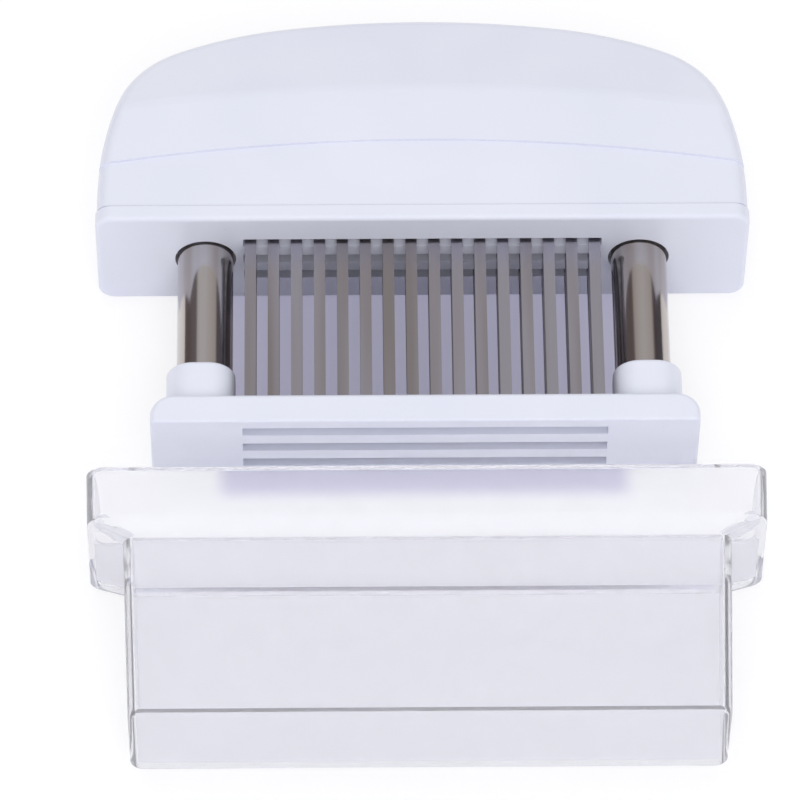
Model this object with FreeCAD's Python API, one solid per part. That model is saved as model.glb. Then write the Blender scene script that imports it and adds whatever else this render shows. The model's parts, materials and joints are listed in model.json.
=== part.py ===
import FreeCAD, Part
import math
import os

# Blade meat tenderizer: three rows of sixteen blades hang from a palm handle, and a
# slotted foot plate on two sprung columns guards the tips. A clear cover, drawn off here,
# slips over the foot until its rim meets the handle.
#
# The tool is drawn with Y along the blades (0 is the closed end of the cover, and the
# handle's crown is the highest Y), X across its width and Z through its depth, with the
# middle row of blades in the plane Z = 0. Each piece is moved to the row frame when it is written.

os.makedirs("parts", exist_ok=True)

V = FreeCAD.Vector
X_AXIS = V(1, 0, 0)
Y_AXIS = V(0, 1, 0)
Z_AXIS = V(0, 0, 1)
TOUCH = 1e-4                # points nearer than this are the same

# ---- places along the tool, in millimetres ----
cover_rim_y = 44.8          # rim of the cover's tray
cover_gap = 49.2            # from the rim to the handle's underside, with the cover drawn off
guard_drop = 37.9           # from the handle's underside to the foot's underside
handle_rise = 44.4          # from the handle's underside to its crown
press_travel = 24.0         # stroke of the foot

# ---- handle ----
depth = 23.4                # handle and cover are equally deep, so both lie flat
handle_width = 109.5        # across the shell at the parting line
base_overhang = 0.25        # the base plate stands out from the shell's sides
wall = 2.4                  # shell wall
parting_height = 3.2        # base plate's edge
side_draft = math.radians(0.6)
crown_radius = 162.5
haunch_radius = 64.0
shoulder_radius = 18.3
flank_radius = 63.4
crown_angle = math.radians(8.4)     # from the middle to the haunch
flank_angle = math.radians(70.7)    # from the middle to the flank
grip_edge_radius = 2.2      # rolled edge all round the grip
least_grip_radius = 1.0     # the same edge inside the shell
lean_start = 17.8           # the face leans back over this last stretch below the crown
lean_angle = math.radians(12.0)
crease_radius = 8.0         # softens the crease where the lean starts
sweep_radius = 312.0        # the arched lines across the face
sweep_spare = 1.3           # the side section is swept this many times past the handle's width
arch_below_crown = 28.0     # the arched step
step_depth = 0.45           # the shell's faces are set back below the arch
base_corner_radius = 2.8
base_edge_radius = 0.8
base_skin = 2.2
parting_chamfer = 0.45
spigot_height = 2.6
spigot_wall = 1.6
spigot_slack = 0.2
spigot_corner_radius = 2.6
rib_thickness = 1.6
rib_pitch = 16.0
rib_count = 3

# ---- columns, bushes, collars and springs ----
column_spacing = 73.2
column_diameter = 9.4
column_wall = 0.8
ring_gap = 0.45             # clearance hole round a column in the handle's underside
bush_clearance = 0.05       # running fit of a column in its bush, on the radius
bush_wall = 0.85
bush_length = 5.5
bush_flange_height = 0.9
bush_flange_reach = 0.8
collar_height = 1.8
collar_wall = 0.8
collar_gap = 0.3            # between collar and bush with the foot fully out
column_above_collar = 0.4
tower_clearance = 0.2
tower_wall = 1.5
ceiling_gap = 0.5           # above a column's end at full press
spring_wire = 0.7
spring_clearance = 0.3      # inside the column, on the radius
spring_pitch = 5.2
spring_end_gap = 0.05

# ---- blades and the pieces that hold them ----
row_pitch = 4.6
row_zs = [row_pitch, 0.0, -row_pitch]       # front, middle and rear row
blade_count = 16            # in a row
blade_pitch = 3.86
blade_width = 1.9
blade_thickness = 0.9
tip_cover = 1.6             # how far the tips stand back inside the foot
tip_bevel = 2.2
head_width = 2.6
head_height = 2.5
blade_slack = 0.1           # round a blade in its retainer
retainer_end_wall = 0.78
retainer_side_wall = 0.9
retainer_slack = 0.1
socket_mouth = 0.4          # the holder's pocket opens this far into the bush sockets
retainer_shoulder = 5.1     # blade heads hang on this ledge above the underside
clamp_height = 2.8
clamp_end_radius = 1.4
clamp_end_gap = 0.2         # between the clamp and the shell's towers
slot_width = 2.2            # one slot a row, in the base and in the foot
slot_end_gap = 0.3          # beyond the last blade of a row

# ---- foot ----
foot_width = 90.8
foot_depth = 15.7
foot_height = 5.5
foot_shoulder_radius = 3.8
foot_corner_radius = 0.9
foot_edge_radius = 0.4      # round the underside
boss_width = 11.5
boss_depth = 11.4
boss_height = 8.0
boss_corner_radius = 4.5
boss_offset = 0.6           # bosses stand outboard of the columns
boss_top_radius = 0.7
socket_floor = 1.6

# ---- cover ----
cover_wall = 1.3
tray_width = 111.2
tray_height = 9.5
tray_draft = 0.25
ledge_slope = 2.6
box_top_width = 99.0
box_top_depth = 19.2
box_end_width = 96.6
box_end_depth = 18.8
box_corner_radius = 2.2
tray_corner_radius = 3.0
least_corner_radius = 0.6
cover_end_radius = 0.8

# ---- places worked out from the sizes ----
base_y = cover_rim_y + cover_gap
foot_y = base_y - guard_drop
parting_y = base_y + parting_height
crown_y = base_y + handle_rise
foot_top_y = foot_y + foot_height
boss_top_y = foot_top_y + boss_height
socket_y = foot_y + socket_floor
half_depth = depth / 2.0
spigot_half_x = handle_width / 2.0 - wall - spigot_slack
spigot_half_z = half_depth - wall - spigot_slack
base_floor_y = base_y + base_skin
bush_top_y = base_floor_y + bush_length
flange_top_y = bush_top_y + bush_flange_height
collar_y = flange_top_y + collar_gap
column_top_y = collar_y + collar_height + column_above_collar
ceiling_y = column_top_y + press_travel + ceiling_gap
column_radius = column_diameter / 2.0
bush_bore_radius = column_radius + bush_clearance
bush_radius = bush_bore_radius + bush_wall
collar_radius = column_radius + collar_wall
tower_bore_radius = collar_radius + tower_clearance
tower_radius = tower_bore_radius + tower_wall
tip_y = foot_y + tip_cover
shoulder_y = base_y + retainer_shoulder
root_y = shoulder_y + head_height
clamp_top_y = root_y + clamp_height
row_half_width = (blade_count - 1) * blade_pitch / 2.0
row_slot_half_x = row_half_width + blade_width / 2.0 + slot_end_gap
retainer_half_width = row_half_width + blade_width / 2.0 + blade_slack + retainer_end_wall
retainer_half_depth = row_zs[0] + blade_thickness / 2.0 + blade_slack + retainer_side_wall
sweep_axis_y = crown_y - arch_below_crown - sweep_radius
row_frame = V(0, -crown_y / 2.0, half_depth)
COLUMN_XS = {"left": -column_spacing / 2.0, "right": column_spacing / 2.0}


def write(shape, node):
    """Move a finished piece to the row frame and write its STEP file."""
    piece = shape.copy()
    piece.translate(row_frame)
    piece.exportStep("parts/" + node + ".step")
    print(node, "solids", len(piece.Solids), "valid", piece.isValid(), "volume", round(piece.Volume, 1))


def block(low, high):
    """A box between two opposite corners."""
    size = V(*high) - V(*low)
    return Part.makeBox(size.x, size.y, size.z, V(*low))


def cylinder(x, radius, low_y, high_y):
    """A round bar along Y, in the blade plane."""
    return Part.makeCylinder(radius, high_y - low_y, V(x, low_y, 0), Y_AXIS)


def rounded_wire(half_x, half_z, radius, y):
    """A rounded rectangle across the tool, at a height y."""
    a = half_x - radius
    b = half_z - radius
    centres = [(a, b, 0), (-a, b, 90), (-a, -b, 180), (a, -b, 270)]
    corners = []
    for cx, cz, start in centres:
        ends = []
        for turn in (start, start + 45, start + 90):
            angle = math.radians(turn)
            ends.append(V(cx + radius * math.cos(angle), y, cz + radius * math.sin(angle)))
        corners.append(ends)
    edges = []
    for i, ends in enumerate(corners):
        following = corners[(i + 1) % len(corners)]
        edges.append(Part.Arc(*ends).toShape())
        edges.append(Part.LineSegment(ends[2], following[0]).toShape())
    return Part.Wire(edges)


def rounded_block(half_x, half_z, radius, low_y, high_y):
    """A bar along Y with a rounded rectangle as its section."""
    face = Part.Face(rounded_wire(half_x, half_z, radius, low_y))
    return face.extrude(V(0, high_y - low_y, 0))


def edges_where(shape, keep):
    return [edge for edge in shape.Edges if keep(edge)]


def middle(edge):
    return edge.valueAt((edge.FirstParameter + edge.LastParameter) / 2.0)


def at_height(y):
    """A test for edges that lie wholly at a height y."""
    def test(edge):
        points = [middle(edge)] + [vertex.Point for vertex in edge.Vertexes]
        return all(abs(point.y - y) < TOUCH for point in points)
    return test


def is_along_tool(edge):
    """True for edges parallel to Y."""
    ends = [vertex.Point for vertex in edge.Vertexes]
    return len(ends) == 2 and (ends[0] - ends[1]).cross(Y_AXIS).Length < TOUCH


# ---------------------------------------------------------------- handle shell

def outline_arcs(inset):
    """Right half of the grip's front outline, as (centre, radius, from angle, to angle)."""
    crown_centre_y = crown_y - crown_radius
    drop = (parting_y - crown_centre_y) * math.sin(side_draft)
    crown_part = (crown_radius - haunch_radius) * math.sin(crown_angle + side_draft)
    flank_part = (flank_radius - shoulder_radius) * math.sin(flank_angle + side_draft)
    rest = handle_width / 2.0 * math.cos(side_draft) + drop - crown_part + flank_part - flank_radius
    haunch_angle = math.asin(rest / (haunch_radius - shoulder_radius)) - side_draft
    angles = [0.0, crown_angle, haunch_angle, flank_angle, math.pi / 2.0 - side_draft]
    radii = [crown_radius, haunch_radius, shoulder_radius, flank_radius]
    centre = V(0, crown_centre_y, 0)
    arcs = []
    for i, radius in enumerate(radii):
        if i:
            step = radii[i - 1] - radius
            centre = centre + V(step * math.sin(angles[i]), step * math.cos(angles[i]), 0)
        arcs.append((centre, radius - inset, angles[i], angles[i + 1]))
    return arcs


def outline_block(inset):
    """The grip's front outline carried straight through its depth, above the parting line."""
    low_y = parting_y - handle_rise
    edges = []
    for side in (1, -1):
        for centre, radius, start, end in outline_arcs(inset):
            points = []
            for angle in (start, (start + end) / 2.0, end):
                x = side * (centre.x + radius * math.sin(angle))
                points.append(V(x, centre.y + radius * math.cos(angle), -depth))
            edges.append(Part.Arc(*points).toShape())
        tangent = points[2]
        foot_x = tangent.x + side * (tangent.y - low_y) * math.tan(side_draft)
        foot = V(foot_x, low_y, -depth)
        edges.append(Part.LineSegment(tangent, foot).toShape())
        edges.append(Part.LineSegment(foot, V(0, low_y, -depth)).toShape())
    solid = Part.Face(Part.Wire(edges)).extrude(V(0, 0, 2.0 * depth))
    return solid.common(block((-handle_width, parting_y, -depth), (handle_width, crown_y + wall, depth)))


def section_side(side, inset):
    """One face of the grip in side view, as points: below the crease, along it, past the crown."""
    centre_z = half_depth - crease_radius
    radius = crease_radius - inset
    points = [V(0, base_y - wall, side * (half_depth - inset))]
    for angle in (0.0, lean_angle / 2.0, lean_angle):
        y = crown_y - lean_start + radius * math.sin(angle)
        points.append(V(0, y, side * (centre_z + radius * math.cos(angle))))
    rise = crown_y + wall - points[-1].y
    points.append(points[-1] + V(0, rise, -side * rise * math.tan(lean_angle)))
    return points


def swept_section(inset):
    """The grip's side section, swept across the handle on a large arc."""
    edges = []
    ends = []
    for side in (1, -1):
        low, start, top_of_arc, finish, high = section_side(side, inset)
        edges.append(Part.LineSegment(low, start).toShape())
        edges.append(Part.Arc(start, top_of_arc, finish).toShape())
        edges.append(Part.LineSegment(finish, high).toShape())
        ends.append((low, high))
    edges.append(Part.LineSegment(ends[0][1], ends[1][1]).toShape())
    edges.append(Part.LineSegment(ends[0][0], ends[1][0]).toShape())
    face = Part.Face(Part.Wire(Part.__sortEdges__(edges)))
    half_turn = sweep_spare * math.degrees(math.asin(handle_width / 2.0 / sweep_radius))
    face.rotate(V(0, sweep_axis_y, 0), Z_AXIS, -half_turn)
    return face.revolve(V(0, sweep_axis_y, 0), Z_AXIS, 2.0 * half_turn)


def is_rim(shape, edge):
    """True where a front or back face meets the grip's side wall."""
    point = middle(edge)
    if point.y < parting_y + 0.01:
        return False
    slopes = []
    for face in shape.ancestorsOfType(edge, Part.Face):
        u, v = face.Surface.parameter(point)
        slopes.append(abs(face.normalAt(u, v).z))
    return min(slopes) < 0.05 and max(slopes) > 0.5


def grip_solid(inset, set_back=0.0):
    """The rounded grip, drawn smaller all round by inset, with its two faces set back further."""
    solid = outline_block(inset).common(swept_section(inset + set_back))
    rim = edges_where(solid, lambda edge: is_rim(solid, edge))
    return solid.makeFillet(max(grip_edge_radius - inset, least_grip_radius), rim)


def below_arch():
    """Everything under the arched step line."""
    return Part.makeCylinder(sweep_radius, 2.0 * depth, V(0, sweep_axis_y, -depth), Z_AXIS)


def make_handle_shell():
    """The hollow grip, with a tower over each column and ribs that press on the blade clamp."""
    upper = grip_solid(0.0).cut(below_arch())
    lower = grip_solid(0.0, step_depth).common(below_arch())
    cavity = grip_solid(wall)
    shell = upper.fuse(lower).cut(cavity)
    inside = [cylinder(x, tower_radius, flange_top_y, crown_y) for x in COLUMN_XS.values()]
    for i in range(rib_count):
        low_x = (i - (rib_count - 1) / 2.0) * rib_pitch - rib_thickness / 2.0
        inside.append(block((low_x, clamp_top_y, -depth), (low_x + rib_thickness, crown_y, depth)))
    for piece in inside:
        shell = shell.fuse(piece.common(cavity))
    for x in COLUMN_XS.values():
        shell = shell.cut(cylinder(x, tower_bore_radius, parting_y, ceiling_y))
    return shell.removeSplitter()


# ---------------------------------------------------------------- handle base

def row_slots(low_y, high_y):
    """One long slot for each row of blades."""
    half = slot_width / 2.0
    return [block((-row_slot_half_x, low_y, z - half), (row_slot_half_x, high_y, z + half)) for z in row_zs]


def make_handle_base():
    """The plate under the handle, with its spigot, bush sockets and blade holder's pocket."""
    half_width = handle_width / 2.0 + base_overhang
    plate = rounded_block(half_width, half_depth, base_corner_radius, base_y, parting_y)
    plate = plate.makeFillet(base_edge_radius, edges_where(plate, at_height(base_y)))
    plate = plate.makeChamfer(parting_chamfer, edges_where(plate, at_height(parting_y)))
    spigot_top = parting_y + spigot_height
    spigot = rounded_block(spigot_half_x, spigot_half_z, spigot_corner_radius, base_floor_y, spigot_top)
    hollow = rounded_block(spigot_half_x - spigot_wall, spigot_half_z - spigot_wall,
                           spigot_corner_radius - spigot_wall, base_floor_y, spigot_top)
    base = plate.fuse(spigot).cut(hollow)
    room = rounded_block(spigot_half_x, spigot_half_z, spigot_corner_radius, base_floor_y, bush_top_y)
    for x in COLUMN_XS.values():
        base = base.fuse(cylinder(x, tower_radius, base_floor_y, bush_top_y).common(room))
    pocket_x = column_spacing / 2.0 - bush_radius + socket_mouth
    pocket_z = retainer_half_depth + retainer_slack
    base = base.cut(block((-pocket_x, base_floor_y, -pocket_z), (pocket_x, bush_top_y, pocket_z)))
    base = base.cut(row_slots(base_y, base_floor_y))
    for x in COLUMN_XS.values():
        base = base.cut(cylinder(x, column_radius + ring_gap, base_y, base_floor_y))
        base = base.cut(cylinder(x, bush_radius, base_floor_y, bush_top_y))
    return base.removeSplitter()


# ---------------------------------------------------------------- blades and their holders

def blade_x(index):
    return (index - (blade_count - 1) / 2.0) * blade_pitch


def make_blade(index, z):
    """A strip with a chisel tip at one end and a T head at the other."""
    x = blade_x(index)
    half = blade_width / 2.0
    half_head = head_width / 2.0
    points = [
        (x - half, tip_y),
        (x + half, tip_y + tip_bevel),
        (x + half, shoulder_y),
        (x + half_head, shoulder_y),
        (x + half_head, root_y),
        (x - half_head, root_y),
        (x - half_head, shoulder_y),
        (x - half, shoulder_y),
    ]
    vectors = [V(px, py, z - blade_thickness / 2.0) for px, py in points]
    face = Part.Face(Part.makePolygon(vectors + vectors[:1]))
    return face.extrude(V(0, 0, blade_thickness))


def head_strip(z, slack):
    """The strip in which the heads of a whole row run together, or the room for it."""
    half_x = row_half_width + head_width / 2.0 + slack
    half_z = blade_thickness / 2.0 + slack
    return block((-half_x, shoulder_y, z - half_z), (half_x, root_y, z + half_z))


def make_rear_blades():
    """The rear row, whose sixteen blades are joined by their heads."""
    z = row_zs[-1]
    blades = [make_blade(i, z) for i in range(blade_count)]
    return head_strip(z, 0.0).fuse(blades).removeSplitter()


def make_retainer():
    """The bar on the base's floor that the blades hang in by their heads."""
    half_x = retainer_half_width
    half_z = retainer_half_depth
    bar = block((-half_x, base_floor_y, -half_z), (half_x, root_y, half_z))
    slot_x = blade_width / 2.0 + blade_slack
    slot_z = blade_thickness / 2.0 + blade_slack
    head_x = head_width / 2.0 + blade_slack
    holes = [head_strip(row_zs[-1], blade_slack)]
    for z in row_zs:
        for i in range(blade_count):
            x = blade_x(i)
            holes.append(block((x - slot_x, base_floor_y, z - slot_z), (x + slot_x, shoulder_y, z + slot_z)))
            if z != row_zs[-1]:
                holes.append(block((x - head_x, shoulder_y, z - slot_z), (x + head_x, root_y, z + slot_z)))
    return bar.cut(holes).removeSplitter()


def make_clamp():
    """The bar that holds the blade heads down. The shell's ribs press on it."""
    half = column_spacing / 2.0 - tower_radius - clamp_end_gap
    bar = block((-half, root_y, -retainer_half_depth), (half, clamp_top_y, retainer_half_depth))
    return bar.makeFillet(clamp_end_radius, edges_where(bar, is_along_tool))


# ---------------------------------------------------------------- columns

def make_column(x):
    """A tube pressed into the foot, which slides in its bush."""
    tube = cylinder(x, column_radius, socket_y, column_top_y)
    return tube.cut(cylinder(x, column_radius - column_wall, socket_y, column_top_y))


def make_bush(x):
    """A flanged sleeve between the base and the shell's tower."""
    body = cylinder(x, bush_radius, base_floor_y, bush_top_y)
    flange = cylinder(x, bush_radius + bush_flange_reach, bush_top_y, flange_top_y)
    bore = cylinder(x, bush_bore_radius, base_floor_y, flange_top_y)
    return body.fuse(flange).cut(bore).removeSplitter()


def make_collar(x):
    """The ring near a column's upper end that keeps it from pulling out of its bush."""
    ring = cylinder(x, collar_radius, collar_y, collar_y + collar_height)
    return ring.cut(cylinder(x, column_radius, collar_y, collar_y + collar_height))


def make_spring(x):
    """A compression spring inside its column, from the foot's socket to the handle's ceiling."""
    mean_radius = column_radius - column_wall - spring_clearance - spring_wire / 2.0
    low = socket_y + spring_end_gap + spring_wire / 2.0
    high = ceiling_y - spring_end_gap - spring_wire / 2.0
    helix = Part.makeHelix(spring_pitch, high - low, mean_radius)
    along = V(0, 1, spring_pitch / (2 * math.pi * mean_radius))
    section = Part.Wire(Part.makeCircle(spring_wire / 2.0, V(mean_radius, 0, 0), along))
    coil = Part.Wire(helix).makePipeShell([section], True, True)
    coil.rotate(V(0, 0, 0), X_AXIS, -90)
    coil.translate(V(x, low, 0))
    return coil


# ---------------------------------------------------------------- foot

def make_foot():
    """The guard's foot: a plate with a long slot for each row of blades and two bosses."""
    half_x = foot_width / 2.0
    half_z = foot_depth / 2.0
    foot = block((-half_x, foot_y, -half_z), (half_x, foot_top_y, half_z))

    def at_end(edge):
        return abs(middle(edge).x) > half_x - TOUCH
    shoulders = edges_where(foot, lambda edge: at_end(edge) and at_height(foot_top_y)(edge))
    foot = foot.makeFillet(foot_shoulder_radius, shoulders)
    corners = edges_where(foot, lambda edge: at_end(edge) and is_along_tool(edge))
    foot = foot.makeFillet(foot_corner_radius, corners)
    foot = foot.makeFillet(foot_edge_radius, edges_where(foot, at_height(foot_y)))
    for x in COLUMN_XS.values():
        foot = foot.fuse(make_boss(x + math.copysign(boss_offset, x)))
    holes = [cylinder(x, column_radius, socket_y, boss_top_y) for x in COLUMN_XS.values()]
    return foot.cut(holes + row_slots(foot_y, foot_top_y)).removeSplitter()


def make_boss(x):
    """A rounded boss on the foot, round the socket of one column."""
    boss = rounded_block(boss_width / 2.0, boss_depth / 2.0, boss_corner_radius, socket_y, boss_top_y)
    boss.translate(V(x, 0, 0))
    return boss.makeFillet(boss_top_radius, edges_where(boss, at_height(boss_top_y)))


# ---------------------------------------------------------------- cover

def cover_form(inset):
    """The cover's outer form, or its hollow when drawn smaller by the wall."""
    ledge_y = cover_rim_y - tray_height
    sections = [
        (box_end_width / 2.0, box_end_depth / 2.0, box_corner_radius, inset),
        (box_top_width / 2.0, box_top_depth / 2.0, box_corner_radius, ledge_y - ledge_slope + inset),
        (tray_width / 2.0 - tray_draft, half_depth - tray_draft, tray_corner_radius, ledge_y + inset),
        (tray_width / 2.0, half_depth, tray_corner_radius, cover_rim_y),
    ]
    wires = []
    for half_x, half_z, radius, y in sections:
        corner = max(radius - inset, least_corner_radius)
        wires.append(rounded_wire(half_x - inset, half_z - inset, corner, y))
    return Part.makeLoft(wires, True, True)


def make_cover():
    """The clear cover: a deep box for the blades under a wider tray for the foot."""
    outer = cover_form(0.0)
    outer = outer.makeFillet(cover_end_radius, edges_where(outer, at_height(0.0)))
    return outer.cut(cover_form(cover_wall))


# ---------------------------------------------------------------- all pieces

def main():
    write(make_handle_shell(), "handle_shell")
    write(make_handle_base(), "handle_base")
    write(make_retainer(), "blade_retainer")
    write(make_clamp(), "blade_clamp")
    for row, z in enumerate(row_zs[:-1]):
        for i in range(blade_count):
            write(make_blade(i, z), "blade_%02d" % (row * blade_count + i + 1))
    write(make_rear_blades(), "rear_blades")
    for name, x in COLUMN_XS.items():
        write(make_column(x), "column_" + name)
        write(make_bush(x), "guide_bush_" + name)
        write(make_collar(x), "stop_collar_" + name)
        write(make_spring(x), "return_spring_" + name)
    write(make_foot(), "guard_foot")
    write(make_cover(), "cover")


main()
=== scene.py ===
# %% [markdown]
# # A blade meat tenderizer
# The tool lies on its back on a pale table. A hollow white handle is pressed with the palm,
# three rows of flat steel blades hang from its underside, and a slotted foot on two polished
# tubes guards the tips. A clear cover lies before it, drawn off. The construction comes in
# as a fixed frame of solids, and this file gives every surface its real finish.

# %% Load the frame
import json
import math

import bpy
from mathutils import Matrix, Vector


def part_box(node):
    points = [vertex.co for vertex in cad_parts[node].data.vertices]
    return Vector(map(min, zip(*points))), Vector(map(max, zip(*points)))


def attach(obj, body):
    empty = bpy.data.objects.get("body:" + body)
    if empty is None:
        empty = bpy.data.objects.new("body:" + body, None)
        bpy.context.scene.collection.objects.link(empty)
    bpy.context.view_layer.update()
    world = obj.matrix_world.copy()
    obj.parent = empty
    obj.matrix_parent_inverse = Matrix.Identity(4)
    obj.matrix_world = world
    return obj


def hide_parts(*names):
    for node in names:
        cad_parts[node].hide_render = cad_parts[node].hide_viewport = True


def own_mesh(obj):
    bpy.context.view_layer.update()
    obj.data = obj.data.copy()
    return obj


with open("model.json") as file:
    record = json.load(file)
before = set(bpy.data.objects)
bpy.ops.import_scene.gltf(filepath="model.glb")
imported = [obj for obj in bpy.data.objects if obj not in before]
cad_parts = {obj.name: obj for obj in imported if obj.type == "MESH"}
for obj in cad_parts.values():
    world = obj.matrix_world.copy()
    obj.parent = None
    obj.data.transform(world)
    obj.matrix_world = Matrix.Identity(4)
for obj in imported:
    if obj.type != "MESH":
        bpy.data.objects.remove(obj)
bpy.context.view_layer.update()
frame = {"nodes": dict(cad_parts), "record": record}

nodes = frame["nodes"]

# %% [markdown]
# ## Small helpers
# Colours are written as a designer writes them, in sRGB hex, while shaders work in linear
# light, so one function turns one into the other. A material is a graph of nodes, so a
# second function adds a node, sets it and joins its inputs.

# %% Colour and node helpers
def linear(hex_colour):
    """sRGB hex to the linear RGBA that shaders work in."""
    parts = [int(hex_colour[i:i + 2], 16) / 255 for i in (1, 3, 5)]
    return [c / 12.92 if c <= 0.04045 else ((c + 0.055) / 1.055) ** 2.4 for c in parts] + [1.0]


def add(tree, kind, settings=None, **inputs):
    """Adds a node, sets its properties, and sets or links its inputs by name or by _number."""
    node = tree.nodes.new(kind)
    for name, value in (settings or {}).items():
        setattr(node, name, value)
    for name, value in inputs.items():
        by_number = name[1:].isdigit()
        socket = node.inputs[int(name[1:]) if by_number else name.replace("_", " ")]
        if isinstance(value, bpy.types.NodeSocket):
            tree.links.new(value, socket)
        else:
            socket.default_value = value
    return node


def new_material(name):
    """An empty node material, and the tree to build in."""
    material = bpy.data.materials.new(name)
    material.use_nodes = True
    tree = material.node_tree
    tree.nodes.clear()
    return material, tree


def finish_material(material, tree, shader):
    """Joins the last shader to the material's output."""
    add(tree, "ShaderNodeOutputMaterial", Surface=shader.outputs[0])
    print("material", material.name, "has", len(tree.nodes), "nodes")
    return material


# %% [markdown]
# ## Patterns in real millimetres
# Nearly every finish here is a soft noise that moves a colour, a roughness or a bump. Its
# size is written as the width of one blotch in millimetres, so it stays right at any scale.
# Squeezing one axis draws the blotches out into lines, as brushing and drawing do to metal.

# %% Pattern helpers
UNSTRETCHED = (1.0, 1.0, 1.0)


def per_metre(feature_mm):
    """Texture scale at which one feature of the pattern is this many millimetres."""
    return 1000.0 / feature_mm


def place(tree, stretch=UNSTRETCHED):
    """The piece's own coordinates in metres, stretched so that a pattern runs along an axis."""
    where = add(tree, "ShaderNodeTexCoord")
    moved = add(tree, "ShaderNodeMapping", Vector=where.outputs["Object"], Scale=stretch)
    return moved.outputs[0]


def noise(tree, where, feature_mm, detail=2.0):
    """Soft noise whose blotches are about this many millimetres."""
    node = add(tree, "ShaderNodeTexNoise", Vector=where, Scale=per_metre(feature_mm), Detail=detail)
    return node.outputs[0]


def relief(tree, height, depth_mm, normal=None):
    """A bump of this real depth."""
    inputs = {"Height": height, "Distance": depth_mm / 1000.0}
    if normal:
        inputs["Normal"] = normal
    return add(tree, "ShaderNodeBump", **inputs).outputs[0]


def ramp(tree, factor, low, high, low_at=0.0, high_at=1.0):
    """A colour that goes from low to high as factor goes from low_at to high_at."""
    node = add(tree, "ShaderNodeValToRGB", Fac=factor)
    node.color_ramp.elements[0].position = low_at
    node.color_ramp.elements[0].color = linear(low)
    node.color_ramp.elements[1].position = high_at
    node.color_ramp.elements[1].color = linear(high)
    return node.outputs[0]


def level(tree, factor, low, high):
    """A number that goes from low to high as factor goes from 0 to 1."""
    node = add(tree, "ShaderNodeMapRange", Value=factor, To_Min=low, To_Max=high)
    return node.outputs[0]


# %% [markdown]
# ## White ABS, injection moulded
# The handle, its base and the foot are white ABS. A polished mould leaves a satin gloss
# with a faint orange peel where the melt shrank, and a very fine grain from the mould's
# last stoning. The white leans to blue, as optical brighteners make it. Colour, roughness
# and relief each get their own noise, since one value all over looks like a computer's.

# %% Moulded ABS
ABS_IOR = 1.54
ABS_ROUGHNESS = (0.24, 0.36)
WHITE_DRIFT_MM = 22.0       # patches of slightly lighter and darker white
PEEL_MM = 5.0               # width of the orange peel's waves
PEEL_DEPTH_MM = 0.012
STONING_MM = 0.5            # real stoning is nearer 0.05 mm; drawn coarser so that it shows
STONING_DEPTH_MM = 0.004


def moulded_abs():
    material, tree = new_material("white_abs_injection_moulded")
    where = place(tree)
    drift = noise(tree, where, WHITE_DRIFT_MM)
    peel = noise(tree, where, PEEL_MM, detail=1.0)
    grain = noise(tree, where, STONING_MM, detail=3.0)
    skin = relief(tree, peel, PEEL_DEPTH_MM)
    skin = relief(tree, grain, STONING_DEPTH_MM, skin)
    shader = add(tree, "ShaderNodeBsdfPrincipled",
                 Base_Color=ramp(tree, drift, "#E6E9F6", "#EBEDF9", 0.3, 0.7),
                 Roughness=level(tree, grain, *ABS_ROUGHNESS), IOR=ABS_IOR, Normal=skin)
    return finish_material(material, tree, shader)


# %% [markdown]
# ## Polished stainless tube
# Drawing a tube through a die leaves hair lines along it, and the polishing mop softens
# them but keeps their direction. A mirror shows its surroundings more than itself, so the
# finish is a plain neutral metal with fine lines that stretch along Y. The lines bend the
# reflections a little, which breaks each bright band into streaks.

# %% Drawn and polished stainless
TUBE_ROUGHNESS = (0.10, 0.20)
TUBE_TONE_MM = 2.4          # slower bands of lighter and darker metal
LINE_MM = 0.35              # spacing of the draw lines
LINE_DEPTH_MM = 0.004
LINE_LENGTH = 0.012         # the pattern's scale along the tube, against across it


def polished_tube():
    material, tree = new_material("stainless_tube_drawn_and_polished")
    where = place(tree, (1.0, LINE_LENGTH, 1.0))
    lines = noise(tree, where, LINE_MM, detail=4.0)
    tone = noise(tree, where, TUBE_TONE_MM, detail=1.0)
    shader = add(tree, "ShaderNodeBsdfPrincipled",
                 Base_Color=ramp(tree, tone, "#B4ABA6", "#C9C6C6", 0.35, 0.65),
                 Metallic=1.0, Roughness=level(tree, lines, *TUBE_ROUGHNESS),
                 Normal=relief(tree, lines, LINE_DEPTH_MM))
    return finish_material(material, tree, shader)


# %% [markdown]
# ## Blade strip
# Each blade is cut from cold rolled stainless strip and ground on its faces. Grinding
# leaves straight scratches along the blade and a duller face than the tube's. Neighbouring
# blades come from different stretches of strip, so some are a warm grey and some lean to
# blue, and a slow noise across the row gives each its own tint.

# %% Ground blade steel
BLADE_ROUGHNESS = (0.24, 0.40)
SCRATCH_MM = 0.25
SCRATCH_DEPTH_MM = 0.004
SCRATCH_LENGTH = 0.02       # the scratches' scale along the blade, against across it
TINT_MM = 6.0
TINT_LENGTH = 0.06          # the tint hardly changes along one blade


def ground_strip():
    material, tree = new_material("stainless_strip_rolled_and_ground")
    along = place(tree, (1.0, SCRATCH_LENGTH, 1.0))
    scratches = noise(tree, along, SCRATCH_MM, detail=3.0)
    tint = noise(tree, place(tree, (1.0, TINT_LENGTH, 1.0)), TINT_MM)
    shader = add(tree, "ShaderNodeBsdfPrincipled",
                 Base_Color=ramp(tree, tint, "#A09A9C", "#B6B4BE", 0.38, 0.62),
                 Metallic=1.0, Roughness=level(tree, scratches, *BLADE_ROUGHNESS),
                 Normal=relief(tree, scratches, SCRATCH_DEPTH_MM))
    return finish_material(material, tree, shader)


# %% [markdown]
# ## Clear styrene, moulded
# The cover is clear styrene with polished faces, very slightly wavy where the melt flowed.
# Its walls are thin and nearly parallel, so light runs on almost straight through them. At
# the solid resin's own IOR every wall would hold doubled images, so it is set lower here.

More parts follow.
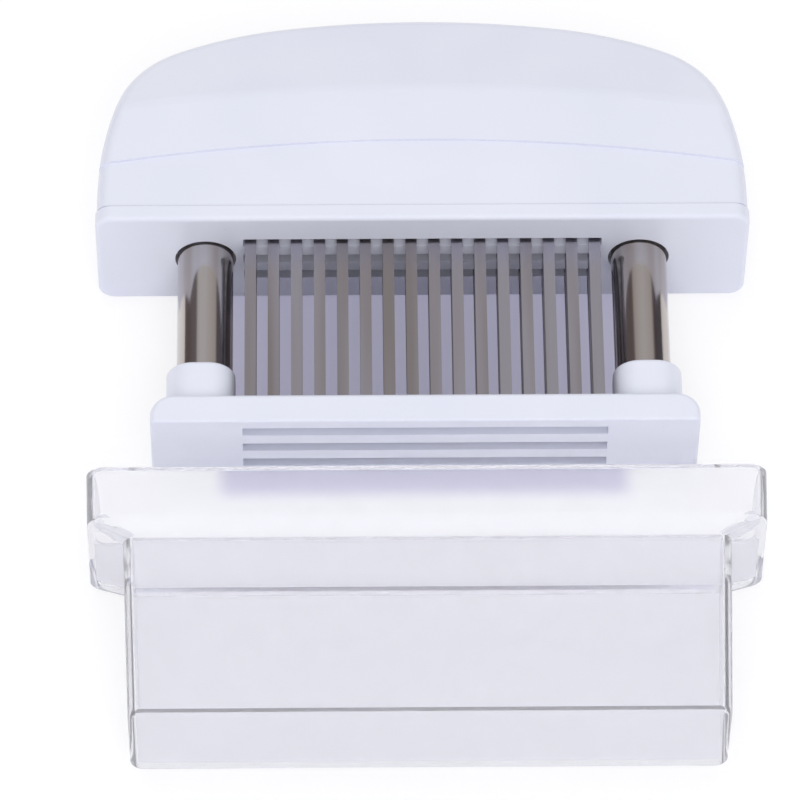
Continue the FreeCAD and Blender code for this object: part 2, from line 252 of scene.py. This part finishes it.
# %% Clear styrene
STYRENE_IOR = 1.22          # a thin wall hardly bends light; solid styrene is at 1.59
STYRENE_ROUGHNESS = (0.021, 0.039)
CLEARNESS = 0.85            # share of the light that goes in; the rest is milk in the resin
HAZE_MM = 3.0
FLOW_MM = 14.0              # length of the flow waves
FLOW_DEPTH_MM = 0.006


def clear_styrene():
    material, tree = new_material("clear_styrene_thin")
    where = place(tree)
    flow = noise(tree, where, FLOW_MM, detail=1.0)
    haze = noise(tree, where, HAZE_MM)
    shader = add(tree, "ShaderNodeBsdfPrincipled",
                 Base_Color=ramp(tree, haze, "#F6F6FA", "#F8F8FC", 0.3, 0.7),
                 Roughness=level(tree, haze, *STYRENE_ROUGHNESS), IOR=STYRENE_IOR,
                 Transmission_Weight=CLEARNESS, Normal=relief(tree, flow, FLOW_DEPTH_MM))
    return finish_material(material, tree, shader)


# %% [markdown]
# ## Nylon and plain steel
# The bushes, the retainer and the clamp are natural nylon, waxy and a little yellow. The
# collars are turned on a lathe, which leaves rings round them, and the springs are drawn
# wire. Little of them shows, so each gets one noise and a fine relief.

# %% Hidden pieces
NYLON_IOR = 1.53
NYLON_ROUGHNESS = (0.42, 0.55)
NYLON_CLOUD_MM = 4.0
NYLON_GRAIN_MM = 0.6
STEEL_ROUGHNESS = (0.22, 0.40)
TURNING_MM = 0.2            # spacing of the lathe's rings
DRAWING_MM = 0.3            # spacing of the marks on the wire
HIDDEN_DEPTH_MM = 0.006     # depth of the nylon's grain and of the steel's marks
ROUND_Y = (0.05, 1.0, 0.05)  # draws the noise out across Y, into rings


def natural_nylon():
    material, tree = new_material("natural_nylon_moulded")
    where = place(tree)
    cloud = noise(tree, where, NYLON_CLOUD_MM)
    grain = noise(tree, where, NYLON_GRAIN_MM)
    shader = add(tree, "ShaderNodeBsdfPrincipled",
                 Base_Color=ramp(tree, cloud, "#E4E0D2", "#ECE9DF"),
                 Roughness=level(tree, cloud, *NYLON_ROUGHNESS), IOR=NYLON_IOR,
                 Normal=relief(tree, grain, HIDDEN_DEPTH_MM))
    return finish_material(material, tree, shader)


def plain_steel(name, low, high, stretch, line_mm):
    """Bare steel with the marks of its making, drawn out along the axes with a low stretch."""
    material, tree = new_material(name)
    lines = noise(tree, place(tree, stretch), line_mm, detail=3.0)
    shader = add(tree, "ShaderNodeBsdfPrincipled",
                 Base_Color=ramp(tree, lines, low, high), Metallic=1.0,
                 Roughness=level(tree, lines, *STEEL_ROUGHNESS),
                 Normal=relief(tree, lines, HIDDEN_DEPTH_MM))
    return finish_material(material, tree, shader)


# %% [markdown]
# ## Dress the solids
# The record names a finish for each solid, so one table from finish to material dresses
# them all. A solid's shape and place are never touched.

# %% Give every solid its material
finishes = {
    "moulded_white": moulded_abs(),
    "white_nylon": natural_nylon(),
    "blade_steel": ground_strip(),
    "polished_tube": polished_tube(),
    "turned_steel": plain_steel("steel_turned", "#A9A9AC", "#C2C2C4", ROUND_Y, TURNING_MM),
    "spring_wire": plain_steel("spring_wire_drawn", "#8E8E92", "#B0B0B3", UNSTRETCHED, DRAWING_MM),
    "clear_cover": clear_styrene(),
}
for part in frame["record"]["subparts"]:
    solid = nodes[part["node"]]
    solid.data.materials.clear()
    solid.data.materials.append(finishes[part["material_slot"]])

# %% [markdown]
# ## Return springs
# Each spring stands inside its tube, between the foot's socket and a ceiling in the handle.
# Pressing the foot shortens it, and a rigid coil can't shorten, so the scene winds the same
# coil again, from its solid's box, and hangs it on the handle in place of the solid.

# %% The coil's wire
WIRE_M = 0.0007             # the wire's diameter
COIL_PITCH_M = 0.0052
STEPS_PER_TURN = 20
WIRE_SIDES = 8


def wire_ring(centre, outward, along):
    """Points round the wire where it passes centre, in the plane across its own direction."""
    up = outward.cross(along).normalized()
    ring = []
    for i in range(WIRE_SIDES):
        turn = 2 * math.pi * i / WIRE_SIDES
        ring.append(centre + WIRE_M / 2 * (math.cos(turn) * outward + math.sin(turn) * up))
    return ring


def wire_faces(steps):
    """Quads that join each ring to the next, and a flat face on either end."""
    last = steps * WIRE_SIDES
    faces = [list(range(WIRE_SIDES))[::-1], list(range(last, last + WIRE_SIDES))]
    for start in range(0, last, WIRE_SIDES):
        for j in range(WIRE_SIDES):
            a = start + j
            b = start + (j + 1) % WIRE_SIDES
            faces.append([a, b, b + WIRE_SIDES, a + WIRE_SIDES])
    return faces


def coil_mesh(name, low, high):
    """A helix of round wire along Y that fills the box between two corners."""
    radius = (high.x - low.x - WIRE_M) / 2
    rise = high.y - low.y - WIRE_M
    climb = COIL_PITCH_M / (2 * math.pi)
    turns = rise / COIL_PITCH_M
    steps = round(turns * STEPS_PER_TURN)
    foot = Vector(((low.x + high.x) / 2, low.y + WIRE_M / 2, (low.z + high.z) / 2))
    points = []
    for i in range(steps + 1):
        turn = 2 * math.pi * turns * i / steps
        outward = Vector((math.cos(turn), 0, -math.sin(turn)))
        along = Vector((-radius * math.sin(turn), climb, -radius * math.cos(turn)))
        centre = foot + radius * outward + Vector((0, rise * i / steps, 0))
        points += wire_ring(centre, outward, along)
    mesh = bpy.data.meshes.new(name)
    mesh.from_pydata(points, [], wire_faces(steps))
    mesh.polygons.foreach_set("use_smooth", [len(face.vertices) == 4 for face in mesh.polygons])
    return mesh


# %% Wind both springs
def wind_spring(side):
    """The coil that stands for one return spring, hung on the handle in place of its solid."""
    node = "return_spring_" + side
    name = "return_coil_" + side
    low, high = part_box(node)
    coil = bpy.data.objects.new(name, coil_mesh(name, low, high))
    bpy.context.scene.collection.objects.link(coil)
    coil.data.materials.append(finishes["spring_wire"])
    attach(coil, "handle")
    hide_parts(node)
    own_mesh(coil)
    print(coil.name, "has", len(coil.data.vertices), "points")


for side in ("left", "right"):
    wind_spring(side)

# %% [markdown]
# ## Table
# The table is a white laminate, and part of its white glows for the camera, so that it
# stays white where nothing shades it and still takes the tool's shadow. Reflections and the
# view through clear plastic see the same glow. Three rows of blades keep most light off the
# table between the tubes, so less of it glows there and their real shadow shows, and over a
# soft-edged box there the table's colours are painted a darker violet, as painted shade.

# %% Blending helpers
def mix_colours(tree, share, low, high):
    """The colour low where share is 0, and high where it is 1."""
    node = add(tree, "ShaderNodeMix", {"data_type": "RGBA"}, _0=share, _6=low, _7=high)
    return node.outputs[2]


def combine(tree, operation, first, second):
    """Two numbers made into one."""
    return add(tree, "ShaderNodeMath", {"operation": operation}, _0=first, _1=second).outputs[0]


def band(tree, value, low, high, edge):
    """1 while value lies between low and high, falling softly to 0 over the edge outside."""
    soft = {"interpolation_type": "SMOOTHSTEP"}
    rise = add(tree, "ShaderNodeMapRange", soft, Value=value, From_Min=low - edge, From_Max=low)
    fall = add(tree, "ShaderNodeMapRange", soft, Value=value, From_Min=high + edge, From_Max=high)
    return combine(tree, "MULTIPLY", rise.outputs[0], fall.outputs[0])


# %% Where the blades shade the table
GLOW_SHARE = 0.62           # how much of the table's white doesn't depend on the light
SHADED_GLOW_SHARE = 0.27    # the same between the tubes, where the blades shade it
GLOW_EDGE = 0.004           # metres over which one share turns into the other
GLOW_STRENGTH = 1.12        # glow and lamplight together just reach white


def painted_shade_under_blades(tree):
    """1 on the table between the tubes, from the foot to the handle, where it glows less and
    painted shade darkens it.
    """
    where = add(tree, "ShaderNodeSeparateXYZ",
                Vector=add(tree, "ShaderNodeTexCoord").outputs["Object"])
    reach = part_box("column_right")[0].x
    foot_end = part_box("guard_foot")[0].y
    handle_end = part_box("handle_base")[1].y
    across = band(tree, where.outputs["X"], -reach, reach, GLOW_EDGE)
    along = band(tree, where.outputs["Y"], foot_end, handle_end, GLOW_EDGE)
    return combine(tree, "MULTIPLY", across, along)


# %% Table
TABLE_SIZE = 3.0
TABLE_DROP = 0.0002         # keeps its face clear of the solids that touch the ground
TABLE_CLOUD_MM = 60.0


def table_material():
    material, tree = new_material("white_table_laminate")
    path = add(tree, "ShaderNodeLightPath")
    seen = combine(tree, "MAXIMUM", path.outputs["Is Camera Ray"], path.outputs["Is Glossy Ray"])
    seen = combine(tree, "MAXIMUM", seen, path.outputs["Is Transmission Ray"])
    painted_shade = painted_shade_under_blades(tree)
    share = combine(tree, "MULTIPLY", seen, level(tree, painted_shade, GLOW_SHARE, SHADED_GLOW_SHARE))
    cloud = noise(tree, place(tree), TABLE_CLOUD_MM)
    white = ramp(tree, cloud, "#F4F4F8", "#F8F8FA")
    # painted shade: inside the box between the tubes the matt and glow colours turn violet grey
    matt_colour = mix_colours(tree, painted_shade, white, linear("#DEDCF2"))
    glow_colour = mix_colours(tree, painted_shade, linear("#FFFFFF"), linear("#E8E6FF"))
    matt = add(tree, "ShaderNodeBsdfDiffuse", Color=matt_colour)
    glow = add(tree, "ShaderNodeEmission", Color=glow_colour, Strength=GLOW_STRENGTH)
    mixed = add(tree, "ShaderNodeMixShader", _0=share, _1=matt.outputs[0], _2=glow.outputs[0])
    return finish_material(material, tree, mixed)


bpy.ops.mesh.primitive_plane_add(size=TABLE_SIZE, location=(0, 0, -TABLE_DROP))
table = bpy.context.object
table.name = "table"
table.data.materials.append(table_material())
print("table is", TABLE_SIZE, "m square")

# %% [markdown]
# ## Light
# The room lights the plastic evenly from all round. Polished metal sees something else: one
# wide bright strip between dark walls, which puts dark edges on the tubes, as black cards
# beside a light tent do. A large soft lamp hangs above the tool, and one fills its front.

# %% Room light
AMBIENT = 0.65
STRIP = (-0.40, 0.56)       # the bright strip's edges, as the sideways part of a direction
STRIP_EDGE = 0.1
WALL_TONE = (0.5, 1.0)      # share of the darker wall colour, on the left and at the far right


def light_room():
    world = bpy.data.worlds.new("room")
    bpy.context.scene.world = world
    world.use_nodes = True
    tree = world.node_tree
    tree.nodes.clear()
    path = add(tree, "ShaderNodeLightPath")
    seen = combine(tree, "MAXIMUM", path.outputs["Is Camera Ray"],
                   path.outputs["Is Transmission Ray"])
    toward = add(tree, "ShaderNodeTexCoord")
    side = add(tree, "ShaderNodeSeparateXYZ", Vector=toward.outputs["Generated"])
    inside = band(tree, side.outputs["X"], *STRIP, STRIP_EDGE)
    walls = ramp(tree, level(tree, side.outputs["X"], *WALL_TONE), "#857A78", "#55525A")
    mirror = mix_colours(tree, inside, walls, linear("#C6C3C2"))
    plain = [AMBIENT, AMBIENT, AMBIENT, 1.0]
    ambient = mix_colours(tree, path.outputs["Is Glossy Ray"], plain, mirror)
    colour = mix_colours(tree, seen, ambient, linear("#FFFFFF"))
    glow = add(tree, "ShaderNodeBackground", Color=colour, Strength=1.0)
    add(tree, "ShaderNodeOutputWorld", Surface=glow.outputs[0])


light_room()

# %% Lamps
def softbox(name, place_m, size_m, watts, colour):
    """A square lamp that faces the middle of the tool and isn't seen in reflections."""
    lamp = bpy.data.lights.new(name, "AREA")
    lamp.size = size_m
    lamp.energy = watts
    lamp.color = linear(colour)[:3]
    holder = bpy.data.objects.new(name, lamp)
    bpy.context.scene.collection.objects.link(holder)
    holder.location = place_m
    holder.rotation_euler = Vector(place_m).to_track_quat("Z", "Y").to_euler()
    holder.visible_glossy = False
    print(name, watts, "W at", place_m)


softbox("overhead_softbox", (-0.15, 0.30, 1.1), 0.9, 1.8, "#FFFFFF")
softbox("front_fill", (0.05, -0.76, 0.82), 0.6, 4.3, "#F8F8FF")

# %% [markdown]
# ## Camera
# The tool is seen from the cover's end, a little over half way up, through a long lens
# that keeps its sides nearly parallel. The camera's axes are worked out from three angles.

# %% Camera
CAMERA_ELEVATION = math.radians(56.82)
CAMERA_YAW = math.radians(-1.27)
CAMERA_ROLL = math.radians(0.76)
CAMERA_DISTANCE = 1.0
CAMERA_TARGET = Vector((-0.00406, -0.00392, 0.0117))
CAMERA_LENS = 270.2
SENSOR = 36.0
CLIP_START = 0.05
CLIP_END = 20.0


def set_camera():
    flat = math.cos(CAMERA_ELEVATION)
    back = Vector((math.sin(CAMERA_YAW) * flat, -math.cos(CAMERA_YAW) * flat,
                   math.sin(CAMERA_ELEVATION)))
    level_right = Vector((math.cos(CAMERA_YAW), math.sin(CAMERA_YAW), 0))
    level_up = back.cross(level_right)
    right = math.cos(CAMERA_ROLL) * level_right + math.sin(CAMERA_ROLL) * level_up
    up = back.cross(right)
    data = bpy.data.cameras.new("camera")
    data.lens = CAMERA_LENS
    data.sensor_width = SENSOR
    data.clip_start = CLIP_START
    data.clip_end = CLIP_END
    camera = bpy.data.objects.new("camera", data)
    bpy.context.scene.collection.objects.link(camera)
    turn = Matrix((right, up, back)).transposed().to_4x4()
    camera.matrix_world = Matrix.Translation(CAMERA_TARGET + CAMERA_DISTANCE * back) @ turn
    bpy.context.scene.camera = camera
    print("camera at", [round(c, 4) for c in camera.location])


set_camera()

# %% [markdown]
# ## Finish
# The view transform is set to Standard, so that colours come out as written.

# %% Finish
bpy.context.scene.view_settings.view_transform = "Standard"
